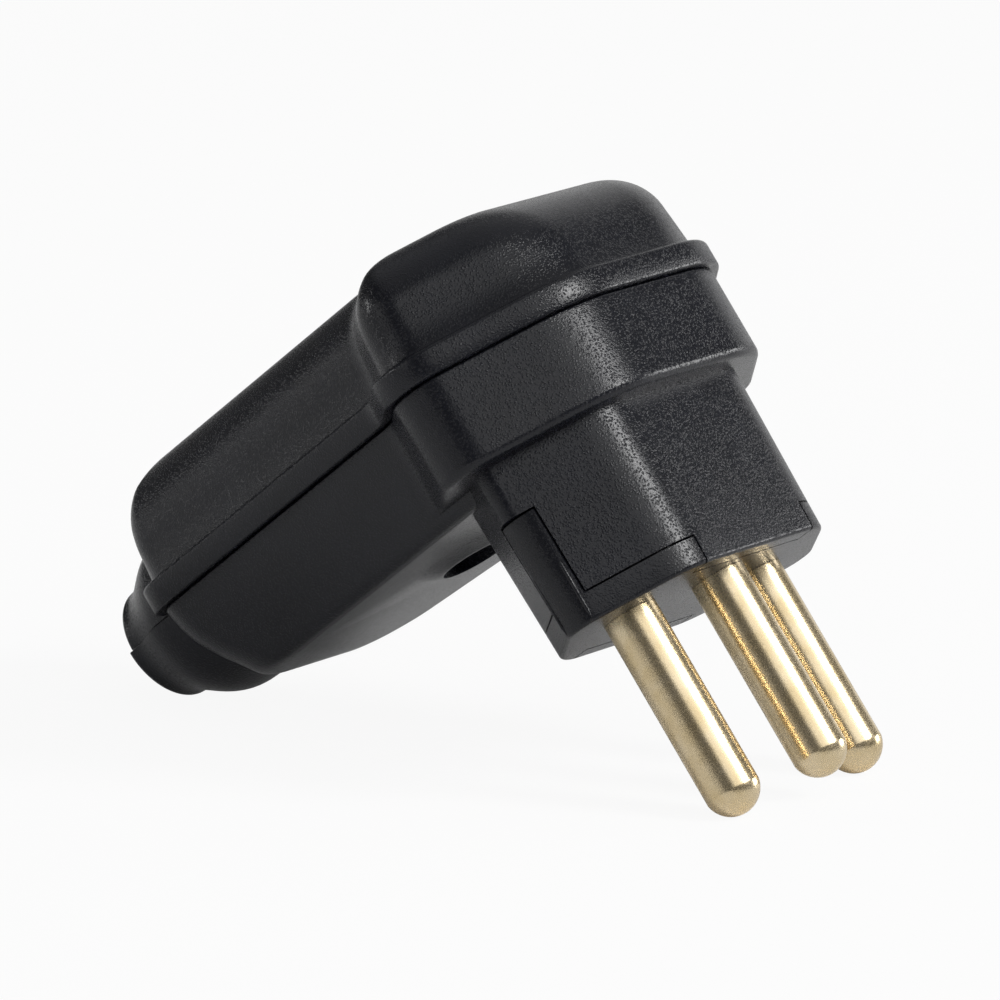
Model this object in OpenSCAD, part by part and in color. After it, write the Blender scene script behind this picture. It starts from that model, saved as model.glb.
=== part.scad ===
// Angled three-pin plug, rewirable, with round pins and a side cable outlet.
// The plug is drawn in its own axes: pins along -Z, live pins on X, cable outlet along -Y.
// at_rest() then tips it about the centre of the nose face so that it stands on a table,
// on the two live pins and the rim of the cable outlet.

/* [Pins] */
// Diameter of each contact pin
pin_d = 4.8; // [4:0.1:6]
// Length of a pin outside the nose
pin_len = 19; // [16:0.5:22]
// Distance between the two live pins
live_pitch = 19; // [17.5:0.5:20]
// Offset of the earth pin from the line of the live pins
earth_offset = 3; // [2:0.25:3.4]
// Height of the rounded tip of a pin
tip_h = 2; // [1:0.1:2.3]
// Diameter of the shank that passes through the carrier
shank_d = 4; // [3:0.1:4.6]
// Diameter of the terminal head at the inner end of a pin
head_d = 6.2; // [5.4:0.1:6.6]
// Height of the terminal head
head_h = 7.5; // [6:0.5:9]
// Diameter of the wire hole across the terminal head
wire_d = 3; // [2:0.1:3.4]

/* [Nose] */
// Half length of the hexagonal nose, to its sharp tip
nose_half_l = 18.3; // [17.8:0.1:19.5]
// Half width of the nose
nose_half_w = 8.4; // [8.2:0.05:9.5]
// Half length of the long flat sides of the nose
nose_half_flat = 9.9; // [8.5:0.1:11]
// Height of the nose from its end face to the shoulder
nose_h = 15.2; // [13:0.1:18]
// How much each side of the nose leans out from its end face up to the shoulder
nose_draft = 0.35; // [0:0.05:0.8]
// Corner radius at the two tips of the nose
nose_r = 1; // [0.5:0.1:2]
// Radius between a long side and a slanted side of the nose
nose_edge_r = 6.5; // [2:0.5:8]
// Wall of the nose
nose_wall = 1.8; // [1.2:0.1:2]

/* [Carrier] */
// Thickness of the carrier's end plate where it shows at the slanted sides
plate_t = 2.4; // [1.5:0.1:4]
// Distance from the middle beyond which the end plate forms the end of the nose
plate_x = 8; // [6:0.1:9.5]
// Half width of the latch tab at each tip
tab_half_w = 1.85; // [0.8:0.05:2.5]
// Height of the latch tab
tab_h = 10.5; // [6:0.5:11.5]
// Depth of the latch tab behind the sharp tip of the nose
tab_depth = 5; // [4:0.5:6]
// Radius of the carrier's own tips
tab_tip_r = 2.6; // [1:0.1:3]
// Height of the carrier block that holds the pins
carrier_h = 12.5; // [11:0.5:13]
// Clearance between the carrier and the nose, and of pins in their holes
fit_gap = 0.18; // [0.05:0.01:0.25]

/* [Housing] */
// Overhang of the shoulder beyond the long sides of the nose
shoulder_step = 3.3; // [2:0.1:4.5]
// Overhang of the head's sharp tips beyond those of the nose
tip_step = 5; // [4:0.1:6]
// Half length of the head's long side, to its sharp corners
head_half_flat = 10; // [9:0.1:11]
// Height of the parting plane above the nose's end face
parting_z = 23.5; // [22:0.1:26]
// Height of the cover above the parting plane
cover_h = 11.6; // [10:0.1:15]
// Gap of the parting line between base and cover
parting_gap = 0.08; // [0.04:0.02:0.2]
// Wall of the housing
wall = 2; // [1.5:0.1:2.6]
// Half width of the arm where it leaves the head
arm_half_root = 16.2; // [14:0.1:18]
// Half width of the arm at its end
arm_half_end = 10.8; // [9.5:0.1:14]
// Distance of the arm's end from the middle of the nose
arm_end = 41.5; // [39:0.5:52]
// Depth of the arm below the parting plane
arm_drop = 9.5; // [9:0.1:11]
// Radius of the housing at the front corners
front_r = 12; // [4:0.5:14]
// Radius of the housing at its tips and at the end of the arm
tip_r = 4; // [3:0.5:5]
// Radius of the hollow between head and arm
crease_r = 4; // [2:0.5:5]
// Radius of the cover's upper edge
dome_r = 6.2; // [3:0.1:7]

/* [Cover lip] */
// How far the lip of the cover stands out beyond the base
lip_out = 0.8; // [0.4:0.1:1.2]
// Height of the lip
lip_h = 2.4; // [1.5:0.1:3]
// Step from the lip in to the dome
lip_step = 1.2; // [1:0.1:2.2]

/* [Cable outlet] */
// Outer diameter of the outlet
outlet_d = 10.9; // [10:0.1:13]
// Length of the outlet beyond the arm
outlet_len = 7.95; // [7.6:0.05:10]
// Diameter of the cable hole
cable_d = 8; // [6:0.1:8.4]
// How far the cover's half of the outlet stays inside the base's half
outlet_inset = 0.25; // [0:0.05:0.8]
// How far the root of the outlet flares out at the arm
outlet_flare = 3; // [0:0.1:3.4]
// Length of that flare
flare_len = 7; // [2:0.1:7.3]
// Radius of the outlet's rim
rim_r = 0.6; // [0.3:0.1:1]

/* [Fastenings] */
// Distance of the cover screw behind the middle of the nose
screw_y = 17; // [15:0.5:19]
// Shank diameter of the cover screw
screw_d = 3.5; // [3:0.1:4]
// Head diameter of the cover screw
screw_head_d = 6; // [5:0.1:6.6]
// Height of the cover screw's head
screw_head_h = 2.2; // [1.6:0.1:2.6]
// Radius of the dished recess around the screw hole
dish_r = 4.6; // [4:0.1:6]
// Shank diameter of the terminal and clamp screws
small_screw_d = 3; // [2.5:0.1:3.2]
// Head diameter of the terminal and clamp screws
small_head_d = 5; // [4.4:0.1:5.4]
// Head height of the terminal and clamp screws
small_head_h = 1.8; // [1.2:0.1:2.2]
// Distance of the cord clamp in front of the arm's end
clamp_back = 10.5; // [9:0.5:14]
// Width of the clamp strap along the cable
clamp_w = 5.2; // [4.8:0.1:6]
// Clearance between the ends of the strap and the cover
clamp_gap = 0.25; // [0.15:0.05:0.5]
// Thickness of the clamp strap
clamp_t = 1.6; // [1.2:0.1:2]
// How much narrower the channel under the strap is than the cable hole
clamp_bite = 0.4; // [0.2:0.1:0.6]
// Shank length of the clamp screws
clamp_screw_len = 6.5; // [5:0.1:7]
// Clearance of screws in their holes
screw_gap = 0.1; // [0.05:0.01:0.2]
// Free depth of a hole beyond the end of its screw
screw_room = 1; // [0.5:0.1:1.5]
// Solid end of the cover's boss above its screw hole, below the roof
boss_roof = 2; // [1:0.1:3]

/* [Hidden] */
$fn = 48;
steps = 6;
black = [0.05, 0.05, 0.055];
carrier_black = [0.07, 0.07, 0.075];
brass = [0.79, 0.63, 0.34];
zinc = [0.72, 0.73, 0.75];
top_z = parting_z + cover_h;
cover_z = parting_z + parting_gap;
boss_hole_z = top_z - wall - boss_roof;
tip_ball = (pow(pin_d / 2, 2) + tip_h * tip_h) / (2 * tip_h);
outlet_end = arm_end + outlet_len;
head_top = carrier_h + head_h;
dish_top = parting_z - arm_drop + 3;
seat_z = dish_top + screw_head_h + 0.6;
clamp_z = parting_z + cable_d / 2 - 0.6;
// Tilt at which the live pin tips and the outlet's rim touch one level table
rest_back = outlet_end - rim_r;
rest_rise = parting_z - outlet_d / 2 + rim_r + pin_len - tip_ball;
rest_tilt = atan2(rest_rise, rest_back) + asin((tip_ball - rim_r) / norm([rest_back, rest_rise]));

// Plan outlines, listed up the right side and down the left, so that points pair across X
nose_pts = both_sides([[nose_half_flat, -nose_half_w], [nose_half_l, 0], [nose_half_flat, nose_half_w]]);
nose_inner_radii = both([nose_edge_r, 0.9, nose_edge_r]);
head_half_w = nose_half_w + shoulder_step;
head_pts = both_sides([[head_half_flat, -head_half_w], [nose_half_l + tip_step, 0], [head_half_flat, head_half_w]]);
clamp_y = arm_end - clamp_back;
slant = head_pts[1][1] - head_pts[0][1];
crease_y = -(head_pts[1][0] - arm_half_root) * slant / (head_pts[1][0] - head_pts[0][0]);
arm_slope = (arm_half_root - arm_half_end) / (arm_end + crease_y);
// Inner half width of the cover at the strap's far end, and from it the place of the clamp screws
strap_room = arm_half_end + (clamp_back - clamp_w / 2) * arm_slope - (lip_step - lip_out) - wall - 0.4;
clamp_pitch = 2 * (strap_room - clamp_gap - clamp_w / 2);
body_pts = both_sides([[arm_half_end, -arm_end], [arm_half_root, crease_y], head_pts[1], head_pts[2]]);
body_r = both([tip_r, crease_r, tip_r, front_r]);
head_r = both([front_r, tip_r, front_r]);
keel_y = nose_half_w - 2;
keel_pts = both_sides([[arm_half_end, -arm_end], [arm_half_root + (keel_y - crease_y) * arm_slope, keel_y]]);

function both(v) = concat(v, [for (i = [len(v) - 1:-1:0]) v[i]]);
function both_sides(v) = concat(v, [for (i = [len(v) - 1:-1:0]) [-v[i][0], v[i][1]]]);
function unit(v) = v / norm(v);
function inward(u) = [-u[1], u[0]];
function turn(u, v) = u[0] * v[1] - u[1] * v[0];
function miter(a, p, b) = let (m = inward(unit(p - a)), n = inward(unit(b - p))) (m + n) / (1 + m * n);
function before(i, n) = (i + n - 1) % n;
function after(i, n) = (i + 1) % n;
function inset_pts(v, d) = let (n = len(v))
    [for (i = [0:n - 1]) v[i] + d * miter(v[before(i, n)], v[i], v[after(i, n)])];

// One rounded corner: an arc whose radius shrinks with the inset at an outside corner
function corner(a, p, b, r, d) =
    let (u = unit(p - a),
         v = unit(b - p),
         k = miter(a, p, b),
         out = turn(u, v) > 0,
         rr = out ? max(r - d, 0.9) : r,
         c = p + k * (out ? d + rr : d - rr),
         m = inward(u) * (out ? -1 : 1),
         a0 = atan2(m[1], m[0]),
         da = atan2(turn(u, v), u * v))
    [for (i = [0:steps]) c + rr * [cos(a0 + da * i / steps), sin(a0 + da * i / steps)]];
function outline(v, r, d = 0) = let (n = len(v))
    [for (i = [0:n - 1]) each corner(v[before(i, n)], v[i], v[after(i, n)], r[i], d)];

// Skin through rounded outlines; each level is [height, inset], from the lowest up
module loft(v, r, levels) {
    rings = [for (l = levels) [for (p = outline(v, r, l[1])) [p[0], p[1], l[0]]]];
    m = len(rings[0]);
    top = m * (len(levels) - 1);
    polyhedron(
        points = [for (ring = rings) each ring],
        faces = concat(
            [for (j = [0:len(levels) - 2], i = [0:m - 1])
                [j * m + i, j * m + m + i, j * m + m + after(i, m), j * m + after(i, m)]],
            [for (i = [0:m / 2 - 2]) [i, i + 1, m - 2 - i, m - 1 - i]],
            [for (i = [0:m / 2 - 2]) [top + m - 1 - i, top + m - 2 - i, top + i + 1, top + i]]));
}

// Hexagonal nose, drafted, with the given radius at its tips
module nose_form(end_r) {
    lean = nose_draft / nose_h;
    loft(nose_pts, both([nose_edge_r, end_r, nose_edge_r]), [[0, 0], [nose_h + 2, -(nose_h + 2) * lean]]);
}

module prism(v, r, d, z0, z1) {
    translate([0, 0, z0]) linear_extrude(z1 - z0) polygon(outline(v, r, d));
}

module at_rest() {
    rotate([rest_tilt, 0, 0]) children();
}

// Round bar along the cable, from y0 to y1 behind the nose
module along_cable(d, y0, y1) {
    translate([0, -y0, parting_z]) rotate([90, 0, 0]) cylinder(d = d, h = y1 - y0);
}

module outlet_form(d) {
    translate([0, -arm_end + 6, parting_z]) rotate([90, 0, 0]) rotate_extrude() {
        square([d / 2 - rim_r, outlet_len + 6]);
        square([d / 2, outlet_len + 6 - rim_r]);
        translate([d / 2 - rim_r, outlet_len + 6 - rim_r]) circle(rim_r);
        polygon([[0, 3], [d / 2 + outlet_flare, 3], [d / 2 + outlet_flare, 6],
                 [d / 2 + 0.9 * outlet_flare, 6 + 0.3 * flare_len],
                 [d / 2 + 0.3 * outlet_flare, 6 + 0.75 * flare_len], [d / 2 - 0.1, 6 + flare_len], [0, 6 + flare_len]]);
    }
}

module above_parting() {
    translate([-60, -80, parting_z]) cube([120, 120, 40]);
}

module below_cover() {
    translate([-60, -80, cover_z - 40]) cube([120, 120, 40]);
}

module clamp_spots() {
    for (s = [-1, 1]) translate([s * clamp_pitch / 2, -clamp_y, 0]) children();
}

// Space of the carrier where it shows: an end plate and a latch tab at each tip, grown by gap
module carrier_window(gap) {
    near = plate_x + fit_gap - gap;
    for (s = [0, 1]) mirror([s, 0, 0]) {
        translate([near, -head_half_w, -1]) cube([nose_half_l, 2 * head_half_w, plate_t + gap + 1]);
        translate([nose_half_l - tab_depth, -tab_half_w - gap, -1])
            cube([2 * tab_depth, 2 * (tab_half_w + gap), tab_h + gap + 1]);
    }
}

module base_outer() {
    difference() {
        union() {
            loft(body_pts, body_r, [
                [parting_z - 7.4, 1.8], [parting_z - 5.5, 0.95], [parting_z - 3, 0.35],
                [parting_z + 1, 0]]);
            loft(head_pts, head_r, [
                [nose_h, 0.8], [nose_h + 0.25, 0.25], [nose_h + 0.9, 0.02], [parting_z + 1.5, -0.04]]);
            loft(keel_pts, [tip_r, tip_r, tip_r, tip_r], [
                [parting_z - arm_drop, 4.8], [parting_z - arm_drop + 0.3, 3.7],
                [parting_z - arm_drop + 1, 2.7], [parting_z - 7.35, 1.83], [parting_z - 5, 2.6]]);
            nose_form(nose_r);
            outlet_form(outlet_d);
        }
        above_parting();
    }
}

module base_hollow() {
    prism(nose_pts, nose_inner_radii, nose_wall, -1, parting_z + 1);
    loft(head_pts, both([front_r, tip_r, front_r]), [
        [nose_h + wall, wall + 0.9], [nose_h + wall + 0.9, wall + 0.1], [parting_z + 2, wall + 0.1]]);
    loft(keel_pts, [tip_r, tip_r, tip_r, tip_r], [
        [parting_z - arm_drop + wall, 6], [parting_z - arm_drop + wall + 0.8, 5],
        [parting_z - 5, wall + 1], [parting_z + 3, wall + 0.3]]);
    along_cable(cable_d, arm_end - 8, outlet_end + 1);
}

module base_shell() {
    color(black) at_rest() difference() {
        union() {
            difference() {
                base_outer();
                base_hollow();
                carrier_window(fit_gap);
            }
            difference() {
                union() {
                    translate([0, -screw_y, dish_top - 2])
                        cylinder(d = screw_head_d + 2 * wall + 0.4, h = parting_z - dish_top + 2);
                    clamp_spots() translate([0, 0, parting_z - 7.2])
                        cylinder(d = small_screw_d + 2.2, h = clamp_z - parting_z + 7.2);
                    for (y = [-1.5, 1.5]) translate([-clamp_pitch / 2, -clamp_y + y - 0.6, parting_z - arm_drop + wall])
                        cube([clamp_pitch, 1.2, arm_drop - wall - 2]);
                }
                along_cable(cable_d + clamp_bite, clamp_y - 2 * clamp_w, clamp_y + 2 * clamp_w);
            }
        }
        translate([0, -screw_y, 0]) {
            cylinder(d = screw_d + 2 * screw_gap, h = parting_z + 1);
            cylinder(d = screw_head_d + 0.4, h = seat_z);
            translate([0, 0, dish_top - 5.4]) cylinder(r1 = dish_r + 3, r2 = screw_head_d / 2 + 0.6, h = 5.4);
        }
        clamp_spots() translate([0, 0, clamp_z + clamp_t - clamp_screw_len - screw_room])
            cylinder(d = small_screw_d + 2 * screw_gap, h = clamp_screw_len + screw_room);
    }
}

module cover_outer() {
    lip_top = parting_z + lip_h;
    dome_in = lip_step - lip_out;
    loft(body_pts, body_r, concat([
        [cover_z, -lip_out + 0.25], [cover_z + 0.25, -lip_out], [lip_top - 0.4, -lip_out],
        [lip_top - 0.08, -lip_out + 0.4], [lip_top, dome_in - 0.35], [lip_top + 0.35, dome_in]],
        [for (a = [0:15:90]) [top_z - dome_r + dome_r * sin(a), dome_in + 0.3 + dome_r * (1 - cos(a))]]));
}

module cover_hollow() {
    inner = inset_pts(body_pts, lip_step - lip_out + wall);
    loft(inner, both([2, 1, 1.2, 3]), [
        [parting_z - 1, 0], [top_z - wall - 3.6, 0.3], [top_z - wall - 1.5, 1],
        [top_z - wall - 0.5, 2.1], [top_z - wall, 3.4]]);
    along_cable(cable_d, arm_end - 8, outlet_end + 1);
}

module top_cover() {
    boss_d = screw_d + 2 * wall + 0.5;
    color(black) at_rest() difference() {
        union() {
            difference() {
                union() {
                    cover_outer();
                    difference() {
                        outlet_form(outlet_d - 2 * outlet_inset);
                        below_cover();
                    }
                }
                cover_hollow();
            }
            translate([0, -screw_y, cover_z]) cylinder(d = boss_d, h = top_z - wall / 2 - cover_z);
        }
        translate([0, -screw_y, seat_z])
            cylinder(d = screw_d + 2 * screw_gap, h = boss_hole_z - seat_z);
    }
}

module pin_carrier() {
    color(carrier_black) at_rest() difference() {
        union() {
            intersection() {
                carrier_window(0);
                nose_form(tab_tip_r);
            }
            prism(nose_pts, nose_inner_radii, nose_wall + fit_gap, 0, carrier_h);
        }
        pin_spots() translate([0, 0, -1]) cylinder(d = shank_d + 2 * fit_gap, h = carrier_h + 2);
    }
}

module pin_spots() {
    for (p = [[-live_pitch / 2, 0], [live_pitch / 2, 0], [0, earth_offset]])
        translate([p[0], p[1], 0]) children();
}

// Contact pin with its terminal head, standing on the nose's end face at z = 0
module contact_pin() {
    difference() {
        rotate_extrude() {
            translate([0, -pin_len + tip_h]) square([pin_d / 2, pin_len - tip_h]);
            intersection() {
                translate([0, -pin_len + tip_ball]) circle(tip_ball);
                translate([0, -pin_len]) square([pin_d / 2, tip_h]);
            }
            translate([0, -1]) square([shank_d / 2, carrier_h + 2]);
            translate([0, carrier_h]) square([head_d / 2, head_h]);
        }
        translate([0, -5, carrier_h + 2.6]) rotate([-90, 0, 0]) cylinder(d = wire_d, h = 10);
        translate([0, 0, carrier_h + 2]) cylinder(d = small_screw_d + 2 * screw_gap, h = head_h);
    }
}

// Slotted screw, head seat at z = 0 and shank down along -Z
module slotted_screw(d, shank, head, head_height) {
    difference() {
        rotate_extrude() {
            translate([0, -shank]) square([d / 2 - 0.3, shank]);
            translate([0, -shank + 0.3]) square([d / 2, shank - 0.3]);
            square([head / 2, head_height - 0.3]);
            square([head / 2 - 0.3, head_height]);
        }
        translate([-head, -0.4, head_height - 0.9]) cube([2 * head, 0.8, 2]);
    }
}

module line_pin() {
    color(brass) at_rest() translate([live_pitch / 2, 0, 0]) contact_pin();
}

module neutral_pin() {
    color(brass) at_rest() translate([-live_pitch / 2, 0, 0]) contact_pin();
}

module earth_pin() {
    color(brass) at_rest() translate([0, earth_offset, 0]) contact_pin();
}

module terminal_screw() {
    slotted_screw(small_screw_d, head_h - 2.6, small_head_d, small_head_h);
}

module line_screw() {
    color(zinc) at_rest() translate([live_pitch / 2, 0, head_top]) terminal_screw();
}

module neutral_screw() {
    color(zinc) at_rest() translate([-live_pitch / 2, 0, head_top]) terminal_screw();
}

module earth_screw() {
    color(zinc) at_rest() translate([0, earth_offset, head_top]) terminal_screw();
}

// Strap over the cable: a flat bar on the two posts, hollowed where the cable lies
module cord_clamp() {
    color(carrier_black) at_rest() difference() {
        union() {
            translate([-clamp_pitch / 2, -clamp_y - clamp_w / 2, clamp_z]) cube([clamp_pitch, clamp_w, clamp_t]);
            clamp_spots() translate([0, 0, clamp_z]) cylinder(d = clamp_w, h = clamp_t);
            translate([0, -clamp_y + clamp_w / 2, parting_z]) rotate([90, 0, 0])
                cylinder(d = cable_d + 2 * clamp_t, h = clamp_w);
        }
        translate([-clamp_pitch, -clamp_y - clamp_w, clamp_z - 2 * cable_d])
            cube([2 * clamp_pitch, 2 * clamp_w, 2 * cable_d]);
        along_cable(cable_d - clamp_bite, clamp_y - clamp_w, clamp_y + clamp_w);
        clamp_spots() translate([0, 0, clamp_z - clamp_t])
            cylinder(d = small_screw_d + 2 * screw_gap, h = 3 * clamp_t);
    }
}

module clamp_screw() {
    translate([0, 0, clamp_z + clamp_t]) slotted_screw(small_screw_d, clamp_screw_len, small_head_d, small_head_h);
}

module clamp_screw_left() {
    color(zinc) at_rest() translate([-clamp_pitch / 2, -clamp_y, 0]) clamp_screw();
}

module clamp_screw_right() {
    color(zinc) at_rest() translate([clamp_pitch / 2, -clamp_y, 0]) clamp_screw();
}

module cover_screw() {
    color(zinc) at_rest() translate([0, -screw_y, seat_z]) rotate([180, 0, 0])
        slotted_screw(screw_d, boss_hole_z - screw_room - seat_z, screw_head_d, screw_head_h);
}

base_shell();
top_cover();
pin_carrier();
line_pin();
neutral_pin();
earth_pin();
line_screw();
neutral_screw();
earth_screw();
cord_clamp();
clamp_screw_left();
clamp_screw_right();
cover_screw();
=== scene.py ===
"""Angled three-pin plug with round brass pins and a side cable outlet, dressed around its CAD frame.

Shapes are worked out in the plug's own axes, in millimetres: pins along -Z, live pins on X,
cable outlet along -Y, origin in the middle of the nose's end face. The last step of every
piece tips it about X to the pose in which the plug stands on a table, in metres.
"""

import math
from types import SimpleNamespace

import bpy
import numpy as np
from bpy.props import FloatProperty, FloatVectorProperty, PointerProperty
from mathutils import Matrix, Vector


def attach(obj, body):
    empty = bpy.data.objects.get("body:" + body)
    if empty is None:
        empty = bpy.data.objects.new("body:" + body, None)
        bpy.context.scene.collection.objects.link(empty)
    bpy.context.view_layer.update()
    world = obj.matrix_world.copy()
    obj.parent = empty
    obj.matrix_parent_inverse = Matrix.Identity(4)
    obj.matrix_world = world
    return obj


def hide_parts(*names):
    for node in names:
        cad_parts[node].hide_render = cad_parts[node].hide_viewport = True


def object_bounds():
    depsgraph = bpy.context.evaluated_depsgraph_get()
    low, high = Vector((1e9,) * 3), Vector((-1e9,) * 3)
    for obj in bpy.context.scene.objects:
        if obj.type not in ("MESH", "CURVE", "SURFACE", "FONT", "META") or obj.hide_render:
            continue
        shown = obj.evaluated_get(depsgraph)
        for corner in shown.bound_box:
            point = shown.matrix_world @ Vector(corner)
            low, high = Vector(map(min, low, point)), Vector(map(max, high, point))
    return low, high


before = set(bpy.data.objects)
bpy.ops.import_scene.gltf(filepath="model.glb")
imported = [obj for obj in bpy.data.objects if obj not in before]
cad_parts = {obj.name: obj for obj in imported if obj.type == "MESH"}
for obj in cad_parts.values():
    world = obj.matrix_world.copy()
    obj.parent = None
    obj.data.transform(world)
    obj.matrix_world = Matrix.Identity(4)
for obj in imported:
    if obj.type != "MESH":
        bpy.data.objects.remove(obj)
CAD_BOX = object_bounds()

bl_info = {
    "name": "Angled three-pin plug",
    "version": (1, 0, 0),
    "blender": (4, 5, 0),
    "location": "View3D > Sidebar > Plug",
    "description": "Builds the moulded housing, carrier, pins and stage of an angled plug",
    "category": "Object",
}

MM = 0.001
BODY = "root"

# Steps of an arc, a straight side and a full turn, and the angle from which an edge stays sharp.
ARC_STEPS = 14
SIDE_STEPS = 10
ROUND_STEPS = 96
SHARP_ANGLE = math.radians(26)

# Smallest outside corner, radius that stands for a point on the axis, and reach of the cutting blocks.
SMALLEST_CORNER = 0.9
POLE_R = 0.02
PAST = 90

# Sides of the arm as pairs of height and inset: above the keel, then above the parting plane.
KEEL_KNOTS = ((-0.1, 3.0), (0.15, 2.3), (0.75, 1.85))
ARM_KNOTS = ((-7.4, 1.45), (-5.5, 0.9), (-3.0, 0.35), (0.0, 0.06), (1.0, 0.0))

# The arm's end draws in further than its sides, and its corners grow with the inset and the depth.
END_LEAN = 2.2
END_GROWTH = 1.6
KEEL_GROWTH = 1.5

# Inset of the head's sides below the shoulder, where the nose hides them, and its growth further down.
TUCK = 3.6
TUCK_SLOPE = 0.35

# Lip of the cover as pairs of height and inset: above its lower edge, then above its ledge.
LIP_EDGE = ((-1.0, 0.2), (0.0, 0.2), (0.07, 0.06), (0.2, 0.0))
LIP_GROOVE = (
    (0.01, -0.14), (-0.12, -0.08), (-0.12, 0.02), (0.03, 0.08), (0.12, 0.13), (0.17, 0.22), (0.2, 0.3)
)

# Height of the dome's foot above the ledge, and the foot's lean: how far it goes in, over which height.
DOME_START = 0.4
DOME_DRAFT = 0.3
DOME_DRAFT_H = 4.0

# Power of the outlet's swell, and the step at its seam: depth, distance from the hole and from the arm.
SWELL_POWER = 1.4
SEAM_STEP = 0.15
SEAM_LEDGE = 0.7
SEAM_START = 0.3

# Reach of the cable hole into the arm, and its extra width around the clamp.
HOLE_DEPTH = 8.0
CLAMP_PLAY = 0.4

# Clamp posts: clearance to the wall, depth below the parting plane, and how far the strap bites in.
POST_GAP = 0.65
POST_DEPTH = 7.2
STRAP_BITE = 0.6

# How far the cover screw's head is sunk in, and clearances across its shank and its head.
SCREW_SUNK = 3.6
SHANK_PLAY = 0.2
HEAD_PLAY = 0.4

# Raised cone around the screw hole: width of its rim past the head, then width and height of its edge.
BOSS_RIM = 0.35
BOSS_EDGE = (0.2, 0.04)

# Pins: height of the edge above the ball tip, chamfers, rise across a flat ring, and the screw's bore.
TIP_EDGE = 0.06
PIN_CHAMFER = 0.02
HEAD_CHAMFER = 0.2
RING_RISE = 0.002
BORE_PLAY = 0.1
BORE_FLOOR = 2.0

# Ranges that hold most and nearly all values of a noise, and the scale of drawn lines along their length.
NOISE_CORE = (0.35, 0.65)
NOISE_SPAN = (0.3, 0.7)
LINE_STRETCH = 0.08

# Table in metres, direction of the room's bright side with the cosines where it begins and is full.
FLOOR_HALF = 2.5
FLOOR_CELLS = 20
BRIGHT_SIDE = (-0.943, -0.298, 0.149)
BRIGHT_EDGE = (0.88, 0.955)

# Each lamp's two sides, its direction from the plug and its distance, in metres.
LAMPS = {
    "key": ((0.42, 0.34), (-0.23, 0.74, 0.63), 1.3),
    "fill": ((1.10, 0.85), (0.30, 0.64, 0.70), 1.3),
    "top": ((1.80, 1.80), (-0.20, -0.20, 1.00), 1.4),
    "side": ((0.45, 0.35), (-0.85, 0.50, 0.15), 1.3),
    "back": ((0.30, 0.22), (0.50, -0.84, 0.19), 1.3),
    "right": ((0.80, 0.55), (0.88, -0.36, 0.30), 1.3),
}


def length(name, description, mm):
    """A length property whose default is given in millimetres."""
    return FloatProperty(name=name, description=description, default=mm * MM, unit="LENGTH", precision=5)


def colour(name, description, rgb):
    """A colour property with linear values."""
    return FloatVectorProperty(
        name=name, description=description, default=rgb, subtype="COLOR", size=3, min=0.0, max=1.0
    )


def share(name, description, value):
    """A share between nothing and one."""
    return FloatProperty(
        name=name, description=description, default=value, subtype="FACTOR", min=0.0, max=1.0
    )


def watts(name, description, power):
    """A lamp's power."""
    return FloatProperty(name=name, description=description, default=power, min=0.0, unit="POWER")


class NoseSizes(bpy.types.PropertyGroup):
    """Sizes of the hexagonal nose that goes into the socket."""

    half_l: length("Half length", "Half length of the nose to its sharp tip", 18.3)
    half_w: length("Half width", "Half width of the nose", 8.4)
    half_flat: length("Half flat", "Half length of the long sides to their sharp corners", 9.9)
    height: length("Height", "Height from the end face to the shoulder", 15.2)
    draft: length("Draft", "How far each side leans out up to the shoulder", 0.35)
    edge_r: length("Edge radius", "Radius between a long side and a slanted side", 6.5)
    tip_r: length("Tip radius", "Radius at the two tips", 1.0)
    rim_r: length("Rim radius", "Rounding of the end face's edge", 0.35)
    wall: length("Wall", "Wall of the nose", 1.8)
    plate_t: length("Plate", "Thickness of the carrier's end plate", 2.4)
    plate_x: length("Plate reach", "Distance from the middle at which the end plate begins", 8.0)
    tab_half_w: length("Tab half width", "Half width of the latch tab at each tip", 1.85)
    tab_h: length("Tab height", "Height of the latch tab", 10.5)
    tab_depth: length("Tab depth", "Depth of the latch tab behind the sharp tip", 5.0)
    tab_tip_r: length("Tab tip radius", "Radius of the carrier's own tips", 2.6)
    rib_y: length("Rib place", "Distance of the fine ribs on a latch tab from its middle", 1.5)
    rib_d: length("Rib", "Diameter of those ribs", 0.36)
    carrier_h: length("Carrier height", "Height of the carrier block", 12.5)
    fit_gap: length("Fit gap", "Clearance between carrier, nose and pins", 0.18)


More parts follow.
